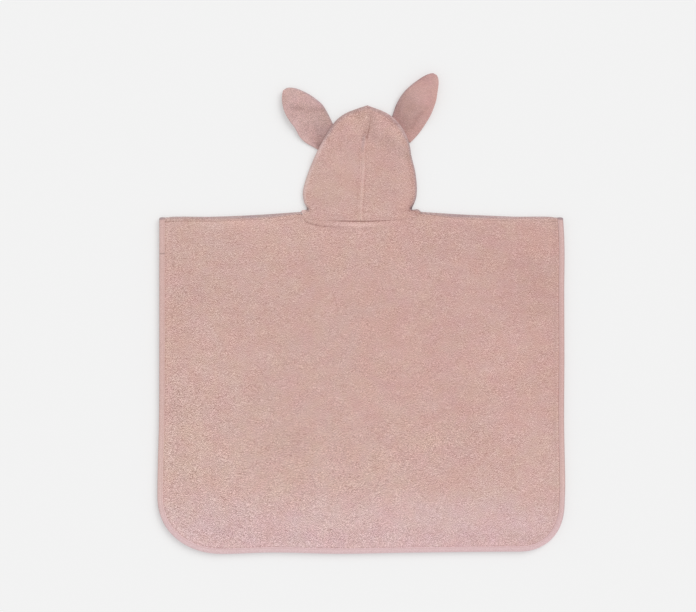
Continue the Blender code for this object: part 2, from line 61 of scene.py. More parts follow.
# Body outline, seen from above.
HALF_WIDTH = 300.0
HEM_Y = -355.0
LENGTH = 500.0
CORNER_POWER = 2.2
CORNERS = {-1: (99.0, 86.0), 1: (68.0, 71.0)}  # side: reach along the hem, reach up the side
SIDES = table(
    "height left_out right_out",
    (-355, 2, 1.2), (-290, 2, 1.2), (-255, 2, 2.3), (-215, 1.2, 1.6), (-175, 0, 0.8), (-60, -0.8, 1.1),
    (30, -0.8, 0.8), (115, -0.8, 0.7), (150, -0.8, -1.5),
)
HEM = table(
    "across rise",
    (-300, -0.9), (-194, -0.9), (-140, 1), (-31, -0.8), (58, 0.7), (117, 1.5), (192, 2.2), (300, 2.5),
)
SHOULDER = table(
    "across height",
    (-300, 142.6), (-283, 143.6), (-224, 143.8), (-165, 146), (-120, 148.8), (-90, 150.9), (90, 150.9),
    (132, 148.2), (180, 145.8), (227, 144), (283, 143.6), (300, 142.4),
)
SEAM_DROP_NECK = 3.6
SEAM_DROP_OUT = 7.0
SEAM_DROP_REACH = 60.0
NECK_HALF = 90.0
NECK_OUT = NECK_HALF + HALF_GAP
NECK_IN = NECK_HALF - HALF_GAP
NECK_TURN = 0.93  # share of the neckline where it turns up
NECK_CORNER = {-1: (-88.7, 147.4), 1: (87.8, 147.9)}
NECK_SLANT = 5.0  # reach of the shoulder's slant towards the neck corner
BACK_NECK_DROP = 10.5
FRONT_NECK_DROP = 57.0
NECK_BAND = 7.0
NECK_BAND_RISE = 0.8

# Hood outline and centre seam, seen from above.
HOOD = table(
    "height left right",
    (154.3, -81.3, 76), (163, -84, 78.6), (174, -86.4, 81.9), (186, -85.6, 82.6), (200, -81.8, 81.6),
    (215, -76.6, 79.2), (233, -68.8, 74.6), (250, -60.4, 71.6), (263, -53.4, 67.4), (276, -45.2, 60.4),
    (288, -35.4, 50.2), (297, -23.2, 37.8), (304.6, -4.6, 21),
)
APEX = (9.2, 309.1)
NECK_FLARE = {-1: (-87.4, 153.6), 1: (83.8, 154.8)}
SEAM = table(
    "height across",
    (136, -1), (155, -0.6), (183, 1), (212, 2.8), (242, 3.3), (260, 5.4), (280, 8.2), (297, 9.6),
    (309.1, 9.2),
)
CROWN_LIP = table(  # line of the pleat's lip, right of the centre seam
    "height across",
    (246, 6.4), (256, 8.2), (265.5, 10.4), (278.5, 13.2), (293.6, 14.4), (304, 14.6),
)
# Spans up the hood: where a form starts, is full, fades and ends.
SEAM_SPAN = (137, 142, 260, 268)
PLEAT_SPAN = (256, 262, 288, 296)
VALLEY_SPAN = (254, 260, 270, 279)
CROWN_SPAN = (279, 284, 299, 304)
SEAM_TOP = 297.0
FACE_HALF = 42.0
FACE_POWER = 0.8
FOREHEAD = (2.0, 262.0)
LOFT_NECK = 0.3
LOFT = 0.8
LOFT_START = 147.0
LOFT_REACH = 40.0
HOOD_STEPS = 19
PINCH_SHARE = 0.045
NECK_TUCK = 0.6
SWELL_START = 140.0
SWELL_REACH = 25.0
FOLD_CALM = 0.25
FOLD_MARGIN = 45.0

# Soft patches.  Each row is the middle across and up, the reach across and up, and the rise.
HOOD_FOLDS = (
    (21, 279, 8, 24, 2), (-14, 276, 14, 26, 1.1), (-48, 205, 22, 40, 0.8), (50, 200, 20, 44, 0.9),
)
BODY_SWELL = 0.35  # random swell of the back panel
BODY_SWELL_SIZE = 34.0
BACK_FOLDS = (
    (-150, 40, 90, 60, 1.2), (60, 20, 120, 50, 0.9), (190, -90, 60, 110, 1.3), (-60, -150, 130, 55, 1.4),
    (-200, -220, 60, 70, 0.9), (120, -260, 110, 50, 1.3), (-10, 85, 70, 22, 0.8),
)
LOOPINESS = (  # where the loops stand out more
    (-270, -60, 110, 200, 0.26), (0, 105, 420, 40, 0.14), (-140, -300, 330, 90, 0.66),
    (-270, -150, 90, 90, 0.3), (110, -190, 110, 40, 0.3), (220, -80, 40, 40, 0.2),
    (-240, 125, 70, 60, -0.14), (205, 75, 50, 70, -0.12), (95, -297, 120, 36, -0.28),
    (10, 290, 60, 26, 0.1), (-90, 290, 40, 60, 0.66), (92, 315, 40, 60, -0.16), (-35, 205, 45, 60, -0.22),
)
LOOPINESS_REST = 0.64
NAP_AND_PAINTED_SHADE = (  # where the body's nap stands fuller, or lies flatter and darker; painted shade at the right neck corner where the hood meets the neck seam, and painted light beside the right tape
    (-225, -75, 65, 60, 0.12), (-175, 134, 75, 8, 0.3), (240, 50, 50, 38, -0.12),
    (-60, 120, 130, 14, 0.08), (-245, 140.6, 50, 2.6, -0.3), (155, 139, 55, 4, 0.2),
    (255, 138, 38, 5, 0.06), (255, 108, 40, 14, 0.04), (290.5, -110, 2.6, 260, 0.14),
    (125, 106, 45, 22, -0.11), (190, -75, 55, 50, 0.1), (60, -60, 40, 50, 0.06), (0, -305, 190, 18, 0.1),
    (165, -222, 42, 36, -0.08), (250, -338, 60, 14, -0.12), (-8, 131.4, 34, 3, 0.5),
    (92, 147, 10, 4, -0.2), (-112, -195, 36, 36, -0.12), (-150, -118, 24, 18, -0.1),
    (270, 25, 22, 34, -0.09), (185, 114, 28, 14, -0.08), (-170, -277, 60, 16, 0.09),
    (55, -277, 32, 14, 0.09), (225, -160, 28, 24, 0.08), (-248, -188, 38, 26, 0.1),
    (-250, 34, 36, 28, -0.08), (235, 82, 42, 14, -0.08),
)
HOOD_PAINTED_SHADE = (  # painted shade in the pinched corners of the hood at its neck and on its crown
    (74.5, 156.5, 3.2, 4, -1.7), (76.5, 166, 4.5, 8, -0.35), (-79.5, 154.7, 3.2, 3.4, -1.6),
    (-6, 295, 26, 10, -0.26), (84, 149, 9, 5, -0.26),
)
EAR_PAINTED_SHADE = {  # painted shade on the ears: at their bases by the hood, in creases and on sides turned from the light; painted light where negative
    -1: ((-60, 268, 9, 13, 0.6), (-64, 251.5, 4.5, 5, 2), (-50, 280, 7, 8, 0.4),
         (-98, 303.5, 10, 4.2, 0.7), (-74, 301, 13, 4.6, 0.65), (-92, 284, 15, 9, -0.2),
         (-92, 318, 14, 8, -0.1), (-112, 298, 8, 12, -0.35), (-99, 275, 9, 12, -0.64),
         (-84, 258, 9, 9, -0.5), (-56, 295, 9, 14, 0.4)),
    1: ((53, 303, 6, 11, 0.7), (61, 285, 11, 13, 0.75), (69, 274, 7, 9, 0.5),
        (74, 305, 9, 9, 0.3), (88, 295, 6, 5, 0.3), (78, 283, 5, 6, 0.25),
        (98, 322, 16, 20, -0.22), (94, 285, 9, 14, -0.3), (65, 323, 11, 16, 0.32),
        (89, 350, 14, 7, 0.6)),
}

# Soft strokes.  Each row is the line's two ends, its half width and its depth.
EAR_CREASES = {
    -1: ((-106, 305.5, -90, 302, 3.2, 1.1), (-90, 302, -60, 301.5, 4.2, 1.3),
         (-95, 300, -88, 291, 3, 0.5), (-70, 280, -64, 258, 4, 1), (-68, 258, -60, 262, 2.2, 1.4)),
    1: ((96, 303, 81, 288, 2.8, 1), (81, 288, 73, 274, 2.6, 1), (57, 312, 52, 292, 4, 0.8),
        (99, 324, 104, 302, 4, 0.6)),
}
CROWN_PAINTED_SHADE = ((27, 299, 52, 280, 3.6, 0.4),)  # painted shade where the crown's right side turns down
SHOULDER_SHADE_LINES = (  # faint lines of painted shade over the edges of the layers under the back panel
    (-89, 143, -111, 139, 1.5, 0.3), (-111, 139, -144, 136, 1.8, 0.2), (66, 134, 86, 141, 1.6, 0.15),
)

# Bells of painted light and shade across the hood's centre seam or the tape.  Each row is its place, its
# half width and its rise.
SEAM_LIGHT_AND_SHADE = ((-3.2, 1.1, 0.1), (-5.8, 1.4, -0.16), (3.5, 1.2, -0.22))
TAPE_LIGHT_AND_SHADE = ((7.6, 0.7, 0.5), (6.4, 0.6, -0.6), (0, 0.5, -0.5))

# Ears.
EAR_WIDTHS = table(
    "share left_inner left_outer right_inner right_outer",
    (-0.1, 17, 20.5, 17.5, 21), (0, 19.5, 23.5, 20, 23.3), (0.13, 23, 28, 22.5, 25.6),
    (0.27, 27, 29.8, 26.4, 27.2), (0.41, 30.6, 28.2, 28.9, 28.7), (0.54, 31.2, 29.8, 29.8, 29.1),
    (0.67, 31.4, 31.2, 29, 29), (0.79, 30.6, 31, 27.4, 27.2), (0.89, 30.4, 29, 26.3, 27.2),
    (1, 28, 23, 24, 28),
)
EARS = {
    -1: dict(base=(-53.9, 263.0), tip=(-114.0, 332.8), middle=1.5, outer=4.5, pale_rim=0.6),
    1: dict(base=(58.9, 271.9), tip=(109.4, 355.2), middle=6.5, outer=1.0, pale_rim=0.0),
}
EAR_TUCK = 0.09
EAR_TIP_SHARE = 0.994
EAR_ROUND = 1.0
EAR_EDGE = 0.35
EAR_PUFF = 1.4
EAR_TAPER = 0.25
EAR_CLEAR = 0.06
EAR_RISE = 0.5
EAR_BASE_HALF = 20.0
EAR_BEARING = 14.0
EAR_SLOPE = 24.0
EAR_FLOOR = 0.4  # least cloth left under a crease

# Body edges and tape.
RAW_EDGE = TAPE_WALL + GAP
PRESSED = 10.5
FULL = 17.0
PUFF_BESIDE = 0.7  # the terry swells up beside the tape
TAPE_JOIN = 448.5
JOIN_STATIONS = 20  # stations of the tape above its join
TAPE_SECTION = table(  # half the tape's U, from the middle of its bend to its upper lip
    "inset height inner_inset inner_height",
    (0, 0, 1.2, 0), (0.07, 0.75, 1.1, 0.45), (0.32, 1.45, 1.1, 0.75), (0.85, 1.88, 1.3, 0.95),
    (2, 2.1, 2, 1), (4, 2.22, 4, 1), (5.4, 2.12, 5.4, 1), (6.4, 1.8, 6.4, 1), (7.1, 1.96, 7.1, 1),
    (7.75, 1.88, 7.6, 1), (8.05, 1.45, 7.9, 1),
)
TAPE_STITCH = 7  # row of the table where the thread lies
TAPE_PUFF = 0.16

# Levels that follow from the walls.
FOLD_OUTER = WALL + HALF_GAP
BACK_Z = WALL + GAP
EAR_HEIGHT = 2 * EAR_WALL + GAP
HOOD_LIFT = EAR_HEIGHT + GAP
BOUND_STACK = 2 * TAPE_WALL + 2 * GAP + BOUND_WALL
BOUND_OUTER = BOUND_STACK + HALF_GAP
BOUND_MIDDLE = (BOUND_STACK + GAP) / 2
PRESSED_RISE = RAW_EDGE + BOUND_WALL - WALL

# Sewing.
SHOULDER_PULL = 0.02
SHOULDER_PULL_LEFT = 0.4
STITCH_PITCH = 3.4
STITCH_LENGTH = 2.5
SPINDLE = ((-1, 0.3), (-0.55, 1), (0.55, 1), (1, 0.3))  # place and size of a stitch's rings
THREAD = 0.28  # radius
SEAM_PITCH = 4.3
NECK_STITCH_FALL = 8.8  # topstitch below the neck seam, in the middle
NECK_STITCH_REACH = 13.0  # reach of its fall from the left neck point
NECK_PULL_END = 52.0
NECK_PULL_FULL = 22.0

# Pile: its height and its tone, from which the materials work.
FRONT_PILE = 0.26
PILE = 0.28
BRIM = 0.8  # painted shade on a rolled edge is darkest as far in as this
EAR_PILE = 0.12
EVEN_TONE = 0.5
LOOP_TONE = 0.25
EAR_TONE = 0.2
SIDE_NAMES = {-1: "left", 1: "right"}
COARSE = 4  # a shell's back keeps every fourth grid line


# ---- curves and fields
def smooth(x):
    """Smooth step: 0 below 0, 1 above 1, 3x^2 - 2x^3 between."""
    x = np.clip(x, 0.0, 1.0)
    return x * x * (3 - 2 * x)


def ease(x, start, end):
    """Smooth step of x, from 0 at start to 1 at end."""
    return smooth((x - start) / (end - start))


def between(x, start, full, fade, end):
    """Soft window: 1 from full to fade, smooth steps beside it."""
    return ease(x, start, full) * ease(x, end, fade)


def dent(distance, half):
    """Bell of height 1 and the given half width: exp(-(distance / half)^2)."""
    return np.exp(-(distance / half)**2)


def bells(x, rows):
    """Sum of bells: rise * exp(-((x - place) / half)^2)."""
    return sum(rise * dent(x - place, half) for place, half, rise in rows)


def curve(at, knots, values):
    """Cubic Hermite curve through values at knots, slopes by central differences."""
    slopes = np.gradient(values, knots)
    at = np.clip(at, knots[0], knots[-1])
    i = np.clip(np.searchsorted(knots, at) - 1, 0, len(knots) - 2)
    step = knots[i + 1] - knots[i]
    t = (at - knots[i]) / step
    return ((2 * t**3 - 3 * t**2 + 1) * values[i] + (t**3 - 2 * t**2 + t) * step * slopes[i]
            + (3 * t**2 - 2 * t**3) * values[i + 1] + (t**3 - t**2) * step * slopes[i + 1])


def along(at, knots, points):
    """The same curve through points."""
    return xyz(*(curve(at, knots, column) for column in points.T))


def swells(x, y, rows):
    """Sum of soft round swells: rise * exp(-(dx / reach across)^2 - (dy / reach up)^2)."""
    across, up, reach_across, reach_up, rise = np.array(rows, float).T
    away_x, away_y = (x[..., None] - across) / reach_across, (y[..., None] - up) / reach_up
    return (rise * np.exp(-away_x**2 - away_y**2)).sum(axis=-1)


def from_line(x, y, x0, y0, x1, y1):
    """Distance from a straight line between two ends."""
    dx, dy = x1 - x0, y1 - y0
    t = np.clip(((x - x0) * dx + (y - y0) * dy) / (dx * dx + dy * dy), 0, 1)
    return np.hypot(x - x0 - t * dx, y - y0 - t * dy)


def creases(x, y, rows):
    """Sum of soft valleys: -depth * exp(-(distance from the line / half)^2)."""
    return -sum(depth * dent(from_line(x, y, *ends), half) for *ends, half, depth in rows)


def join(*parts, axis=0):
    """Arrays end to end along an axis."""
    return np.concatenate(parts, axis)


def lines(*stretches):
    """Grid lines, end to end: start, end and steps of each stretch."""
    parts = [np.linspace(start, end, steps + 1)[:-1] for start, end, steps in stretches]
    return join(*parts, [stretches[-1][1]])


def run_of(points):
    """Distance along a row of points."""
    steps = np.linalg.norm(np.diff(points, axis=0), axis=1)
    return join([0.0], np.cumsum(steps))


def xyz(*parts):
    """Coordinates, or point numbers, side by side."""
    return np.stack(np.broadcast_arrays(*parts), -1)


LATTICE = np.random.default_rng(11).uniform(-1, 1, (256, 256))


def field(x, y, size, other=0):
    """Random field from -1 to 1: values on a square lattice, blended by the smooth step.

    `other` picks another stretch of the lattice.
    """
    u, v = x / size + 37.3 * other, y / size + 71.9 * other
    i, j = np.floor(u).astype(int), np.floor(v).astype(int)
    s, t = smooth(u - i), smooth(v - j)

    def row(j):
        return LATTICE[i % 256, j % 256] * (1 - s) + LATTICE[(i + 1) % 256, j % 256] * s

    return row(j) * (1 - t) + row(j + 1) * t


def pile(points):
    """Height of the looped pile, about -1 to 1.

    Loops are a field of 2.3 mm, crinkles 1 - 2 |field| of 4.4 mm, bent by a field of 7 mm, and
    streaks a field of 9 mm.  Crinkles and streaks are longer across the cloth.
    """
    u, v = (place + 0.8 * points[..., 2] for place in on_plan(points))
    bend = 2.6 * field(u, v, 7.0, 3)
    loops = field(u, v, 2.3, 1)
    crinkles = 1 - 2 * np.abs(field(0.5 * (u + bend), v - bend, 4.4, 2))
    streaks = field(0.35 * u, v, 9.0, 4)
    return 0.8 * loopiness(points) * (0.62 * loops + 0.2 * crinkles) + 0.24 * streaks


def on_plan(points):
    """Points seen from above: across and up."""
    return points[..., 0], points[..., 1]


def loopiness(points):
    """How much the loops stand out: about 0.6, and up to twice that at the hem's left."""
    return LOOPINESS_REST + swells(*on_plan(points), LOOPINESS)


# ---- meshes
def placed(name, data):
    """A new object at the origin."""
    thing = bpy.data.objects.new(name, data)
    bpy.context.collection.objects.link(thing)
    return thing


def make_mesh(name, points, corners, finish, **values):
    """One closed piece from points in millimetres, triangles, and each point's own values."""
    mesh = bpy.data.meshes.new(name)
    count = points.size // 3
    mesh.vertices.add(count)
    mesh.vertices.foreach_set("co", (points * MM).ravel())
    mesh.loops.add(corners.size)
    mesh.loops.foreach_set("vertex_index", corners.ravel())
    mesh.polygons.add(len(corners))
    mesh.polygons.foreach_set("loop_start", np.arange(0, corners.size, 3))
    mesh.update(calc_edges=True)
    mesh.validate()
    mesh.shade_smooth()
    for key, value in values.items():
        kind, form = ("FLOAT_VECTOR", "vector") if value.size > count else ("FLOAT", "value")
        kept = mesh.attributes.new(key, kind, "POINT")
        kept.data.foreach_set(form, value.astype(np.float32).ravel())
    mesh.materials.append(finish)
    return placed(name, mesh)


def grid_ids(grid):
    """Numbers of a grid's points."""
    return np.arange(grid.shape[0] * grid.shape[1]).reshape(grid.shape[:2])


def grid_quads(ids):
    """Quads between neighbours of a grid of point numbers."""
    return xyz(ids[:-1, :-1], ids[1:, :-1], ids[1:, 1:], ids[:-1, 1:]).reshape(-1, 4)


def halves(quads):
    """Two triangles for each quad."""
    return join(quads[:, [0, 1, 2]], quads[:, [0, 2, 3]])


def tube(ids):
    """Triangles of a grid whose last column joins its first."""
    return halves(grid_quads(join(ids, ids[:, :1], axis=1)))


def lifted(face, height, turned):
    """A grid moved along its normals, cross products of central differences, above the floor."""
    cross = np.cross(np.gradient(face, axis=0), np.gradient(face, axis=1))
    length = np.linalg.norm(cross, axis=-1, keepdims=True)
    face = face + cross / np.maximum(length, 1e-9) * (-1 if turned else 1) * height[..., None]
    face[..., 2] = face[..., 2].clip(0)
    return face


def rim_of(ids):
    """Point numbers round a grid's rim."""
    return join(ids[:-1, 0], ids[-1, :-1], ids[:0:-1, -1], ids[0, :0:-1])


def shell(name, face, back, finish, turned=False, **values):
    """A closed wall: a fine face, every fourth line of the back, and fans between their rims."""
    back = back[::COARSE, ::COARSE]
    fine = grid_ids(face)
    rough = fine.size + grid_ids(back)
    outer, inner = rim_of(fine), rim_of(rough)
    corners = join(
        halves(grid_quads(fine)),
        halves(grid_quads(rough))[:, ::-1],
        xyz(np.roll(outer, -1), outer, np.repeat(inner, COARSE)),
        xyz(np.roll(outer[::COARSE], -1), inner, np.roll(inner, -1)))
    if turned:
        corners = corners[:, ::-1]
    points = join(face.reshape(-1, 3), back.reshape(-1, 3))
    values = {key: join(value.ravel(), value[::COARSE, ::COARSE].ravel())
              for key, value in values.items()}
    return make_mesh(name, points, corners, finish, **values)


def wall(name, face, back, quads, finish, **values):
    """A closed wall: the face's quads, the back's turned over, and a strip round the rim."""
    used, quads = np.unique(quads, return_inverse=True)
    quads = quads.reshape(-1, 4)
    face, back = face.reshape(-1, 3)[used], back.reshape(-1, 3)[used]
    count = len(face)
    edges = join(*(quads[:, [k, (k + 1) % 4]] for k in range(4)))
    _, first, uses = np.unique(np.sort(edges), axis=0, return_index=True, return_counts=True)
    rim = edges[first[uses == 1]]
    strip = xyz(rim[:, 1], rim[:, 0], rim[:, 0] + count, rim[:, 1] + count)
    corners = halves(join(quads, quads[:, ::-1] + count, strip))
    values = {key: np.tile(value.ravel()[used], 2) for key, value in values.items()}
    return make_mesh(name, join(face, back), corners, finish, **values)


def threads(name, path, finish):
    """A row of stitches: at each pitch a spindle of four rings of five points, along the path."""
    run = run_of(path)
    at = np.arange(STITCH_PITCH, run[-1] - STITCH_PITCH, STITCH_PITCH)[:, None, None]

    def path_at(distance):
        return xyz(*(np.interp(distance, run, column) for column in path.T))

    middle = path_at(at)
    ahead = path_at(at + STITCH_LENGTH / 2) - middle
    ahead /= np.linalg.norm(ahead, axis=-1, keepdims=True)
    across = np.cross(ahead, np.where(np.abs(ahead[..., 2:]) > 0.7, [1.0, 0, 0], [0, 0, 1.0]))
    across /= np.linalg.norm(across, axis=-1, keepdims=True)
    upward = np.cross(across, ahead)
    ring = np.linspace(0, 2 * np.pi, 6)[:-1, None]
    place, size = np.array(SPINDLE).T[..., None, None]
    out = size * THREAD * (across * np.cos(ring) + upward * np.sin(ring))
    points = middle + ahead * (place * STITCH_LENGTH / 2) + out
    ends = [[0, 1, 2], [0, 2, 3], [0, 3, 4], [15, 17, 16], [15, 18, 17], [15, 19, 18]]
    one = join(tube(np.arange(20).reshape(4, 5)), ends)
    corners = (one + 20 * np.arange(len(at))[:, None, None]).reshape(-1, 3)
    return make_mesh(name, points, corners, finish)


# ---- the body's plan
def plan(across, up, top):
    """Lay a square sheet out as the body: round the hem corners, then fit hem, top and sides.

    In a corner, a line at one distance in from the edge is a superellipse about the corner's
    centre, and a point's share of the way from the corner's middle gives its angle.
    """
    x, y = across, up
    power = 2 / CORNER_POWER
    for side, (reach_x, reach_y) in CORNERS.items():
        a, b = HALF_WIDTH - side * across, up
        corner = (a < reach_x) & (b < reach_y)
        inset = np.minimum(a, b)
        up_share = (b - inset) / np.where(corner, reach_y - inset, 1)
        along_share = (a - inset) / np.where(corner, reach_x - inset, 1)
        angle = np.pi / 4 * np.where(b >= a, 1 - up_share, 1 + along_share)
        round_x = HALF_WIDTH - reach_x + (reach_x - inset) * np.cos(angle).clip(0)**power
        round_y = reach_y - (reach_y - inset) * np.sin(angle).clip(0)**power
        x = np.where(corner, side * round_x, x)
        y = np.where(corner, round_y, y)
    share = y / LENGTH
    y = y + HEM_Y + curve(x, *HEM.values()) * (1 - share)
    y = y + (top(x) - HEM_Y - LENGTH) * share**2
    out = np.where(x < 0, curve(y, SIDES["height"], SIDES["left_out"]),
                   curve(y, SIDES["height"], SIDES["right_out"]))
    past_neck = np.clip((np.abs(x) - NECK_OUT) / (HALF_WIDTH - NECK_OUT), 0, None)
    return x + np.sign(x) * out * past_neck, y


def pressed(inset):
    """1 where the tape presses the terry flat, 0 where it is full."""
    return ease(inset, FULL, PRESSED)


def beside_tape(inset):
    """How the terry swells beside the tape: a bell past its lip, cut off under the lip."""
    return PUFF_BESIDE * dent(inset - 9.6, 2.6) * ease(inset, 8.4, 9.2)


def top_edge(x):
    """Height of the body's top edge."""
    return curve(x, *SHOULDER.values())


def roll_centre(x):
    """Height of the shoulder roll's centre line: its radius below the top edge."""
    bound = pressed(HALF_WIDTH - np.abs(x))
    return top_edge(x) - FOLD_OUTER - (BOUND_OUTER - FOLD_OUTER) * bound


def shoulder_seam(x):
    """Height of the shoulder seam: its drop below the top edge grows away from the neck."""
    away = smooth((np.abs(x) - NECK_HALF) / SEAM_DROP_REACH)
    return top_edge(x) - SEAM_DROP_NECK - (SEAM_DROP_OUT - SEAM_DROP_NECK) * away


def round_of(x, half):
    """sqrt(1 - (x / half)^2), and 0 past the neck points."""
    return np.sqrt(np.clip(1 - (x / half)**2, 0, None))


def front_top(x):
    """Front panel's flat top: the roll's centre line, or the front neckline, half an ellipse."""
    neck = roll_centre(NECK_OUT) - (FRONT_NECK_DROP + HALF_GAP) * round_of(x, NECK_OUT)
    return np.where(np.abs(x) < NECK_HALF, neck, roll_centre(x))


def neck_corner(x):
    """Place where the neck seam runs into the hood's fold, on the same side as x."""
    return [np.where(x < 0, *place) for place in zip(NECK_CORNER[-1], NECK_CORNER[1])]


def back_neck(x):
    """Back neckline: the neck point's height less the drop times a power of the round.

    The power is 1 on the right and 1/2 on the left.  At its ends the line eases up to the neck
    corner by a smooth step.
    """
    corner_x, corner_y = neck_corner(x)
    turn = ease(x / corner_x, NECK_TURN, 1)
    power = np.where(x > 0, 1.0, 0.5)
    low = shoulder_seam(NECK_HALF) - BACK_NECK_DROP * round_of(x, NECK_HALF)**power
    return low * (1 - turn) + corner_y * turn


def back_top(x):
    """Back panel's top: the shoulder seams and, between the neck points, the back neckline."""
    return np.where(np.abs(x) < NECK_HALF, back_neck(x), shoulder_seam(x)) - SEAM_HALF


def neck_stitch(x):
    """Height of the neck's topstitch: at the seam at the left neck point, below it elsewhere."""
    away = np.clip(x + NECK_HALF, 0, None)
    return back_neck(x) - NECK_STITCH_FALL * (1 - np.exp(-away / NECK_STITCH_REACH))


def panel_grid(top, neck_steps, *stretches):
    """A panel's square sheet, its place in the plan, and the distance in from sides and hem."""
    side = HALF_WIDTH - RAW_EDGE
    across, up = np.meshgrid(
        lines((-side, -NECK_OUT, 110), (-NECK_OUT, NECK_OUT, neck_steps), (NECK_OUT, side, 110)),
        lines(*stretches), indexing="ij")
    return across, up, *plan(across, up, top), np.minimum(HALF_WIDTH - np.abs(across), up)


def seam_dip(distance, x, reach=2.6):
    """Depth of a sewn edge below its cloth: it rounds down to the seam, deeper at each stitch."""
    stitch = 0.5 + 0.5 * np.cos(2 * np.pi * x / SEAM_PITCH)
    return ((1.3 + 0.5 * stitch) * np.clip(1 - distance / reach, 0, 1)**2
            + 0.2 * stitch * dent(distance - 3, 2))


def neck_pull(x):
    """How hard the neck seam pulls in: 1 in the middle, 0 at the shoulders."""
    return ease(np.abs(x), NECK_PULL_END, NECK_PULL_FULL)


def shoulder_pull(x):
    """How hard the shoulder seam pulls in: most at the left sleeve end."""
    return SHOULDER_PULL + (SHOULDER_PULL_LEFT - SHOULDER_PULL) * ease(x, -190, -230)


# ---- body panels
def front_panel(finish):
    """Lowest sheet, with a wing that rolls over each shoulder to the shoulder seam."""
    across, up, x, y, inset = panel_grid(front_top, 44, (RAW_EDGE, 20, 9), (20, LENGTH, 96))
    flat = pressed(inset)
    inset = inset[:, -1:]
    bound = pressed(inset)
    outer = FOLD_OUTER + PRESSED_RISE * bound + 1.5 * beside_tape(inset)
    inner = HALF_GAP + RAW_EDGE * bound
    centre_z = FOLD_OUTER + (BOUND_OUTER - FOLD_OUTER) * bound
    angle = np.linspace(-np.pi / 2, np.pi / 2, 13)[1:]
    end_x, centre_y = x[:, -1:], y[:, -1:]
    slant = neck_corner(end_x)[0] + np.sign(end_x) * (SEAM_HALF - NECK_OUT)
    slant = slant * ease(np.abs(end_x), NECK_OUT + NECK_SLANT, NECK_OUT)
    rim_x = end_x + slant * np.where(angle > 0, 1 - np.cos(angle), 0)
    seam_y = shoulder_seam(end_x) + SEAM_HALF
    flap_x = end_x + slant
    flap_y = centre_y + (seam_y - centre_y) * np.linspace(0, 1, 6)[1:]

    def wrapped(radius):
        roll = xyz(rim_x, centre_y + radius * np.cos(angle), centre_z + radius * np.sin(angle))
        return join(roll, xyz(flap_x, flap_y, centre_z + radius), axis=1)

    face = join(xyz(x, y, RAW_EDGE * flat), wrapped(outer), axis=1)
    back = join(xyz(x, y, WALL + PRESSED_RISE * flat), wrapped(inner), axis=1)
    loops = pile(face)
    height = FRONT_PILE * loops
    height[:, -5:] -= shoulder_pull(flap_x) * seam_dip(flap_y - seam_y, flap_x)
    face = lifted(face, height, True)
    ids = grid_ids(face)
    rows = across.shape[1]
    left, right = np.flatnonzero(np.abs(across[:, 0]) < NECK_HALF + GAP)[[0, -1]]
    quads = join(grid_quads(ids[:, :rows]), grid_quads(ids[:left + 1, rows - 1:]),
                 grid_quads(ids[right:, rows - 1:]))
    x, y = on_plan(face)
    tone = EVEN_TONE + LOOP_TONE * loops + swells(x, y, NAP_AND_PAINTED_SHADE)
    inward = top_edge(x) - y
    most = dent(np.abs(x) - 155, 55)
    # painted shade along the rolled shoulder edge, most in the shoulders' middle
    edge = 0.5 * ease(inward, 5.0, BRIM) + 0.42 * most * dent(inward - 3.2, 2.4)
    edge[:, :rows] = 0
    return wall("front_panel_cloth", face, back, quads[:, ::-1], finish, tone=tone, edge=edge,
                loopy=loopiness(face))


def back_panel(finish):
    """Upper sheet, from the hem to the shoulder seams and the neck seam."""
    across, up, x, y, inset = panel_grid(back_top, 96, (RAW_EDGE, LENGTH - 26, 238),
                                         (LENGTH - 26, LENGTH, 26))
    from_seam = LENGTH - up
    flat = pressed(inset)
    open_cloth = smooth((np.minimum(inset, from_seam) - NECK_BAND) / FOLD_MARGIN)
    swell = (swells(x, y, BACK_FOLDS) + BODY_SWELL * field(x, y, BODY_SWELL_SIZE, 7)) * open_cloth
    near_neck = ease(np.abs(across), NECK_HALF + NECK_BAND, NECK_HALF)
    pull = np.where(np.abs(x) < NECK_HALF, neck_pull(x), shoulder_pull(x))
    band = NECK_BAND_RISE * near_neck * neck_pull(x) * smooth(2 - from_seam / NECK_BAND)
    lower = BACK_Z + (BOUND_STACK + GAP + RAW_EDGE - BACK_Z) * flat + swell
    thick = WALL + (BOUND_WALL - WALL) * flat + band + beside_tape(inset)

    spot = xyz(x, y, lower)
    loops = pile(spot) * (1 - 0.45 * flat)
    beside = 0.5 + 0.5 * np.cos(2 * np.pi * x / STITCH_PITCH)
    fading = 0.15 + 1.1 * ease(x, -10, -70)
    topstitch = near_neck * fading * dent(y - neck_stitch(x), 1.3) * (0.6 + 0.4 * beside)
    sunk = pull * seam_dip(from_seam, x) + 0.4 * topstitch
    face = xyz(x, y, lower + thick + PILE * loops - sunk)
    # painted shade in the topstitch's dents and the seams' dips, and a line of painted shade along the
    # neck seam
    neck_seam_shade = near_neck * 0.5 * dent(x, 32) * dent(from_seam - 0.4, 1.1)
    tone = EVEN_TONE + LOOP_TONE * loops + swells(x, y, NAP_AND_PAINTED_SHADE) + creases(x, y, SHOULDER_SHADE_LINES)
    tone = tone - 0.7 * topstitch - 0.25 * np.clip(sunk, 0, 1) - neck_seam_shade
    return shell("back_panel_cloth", face, spot, finish, tone=tone, loopy=loopiness(face))


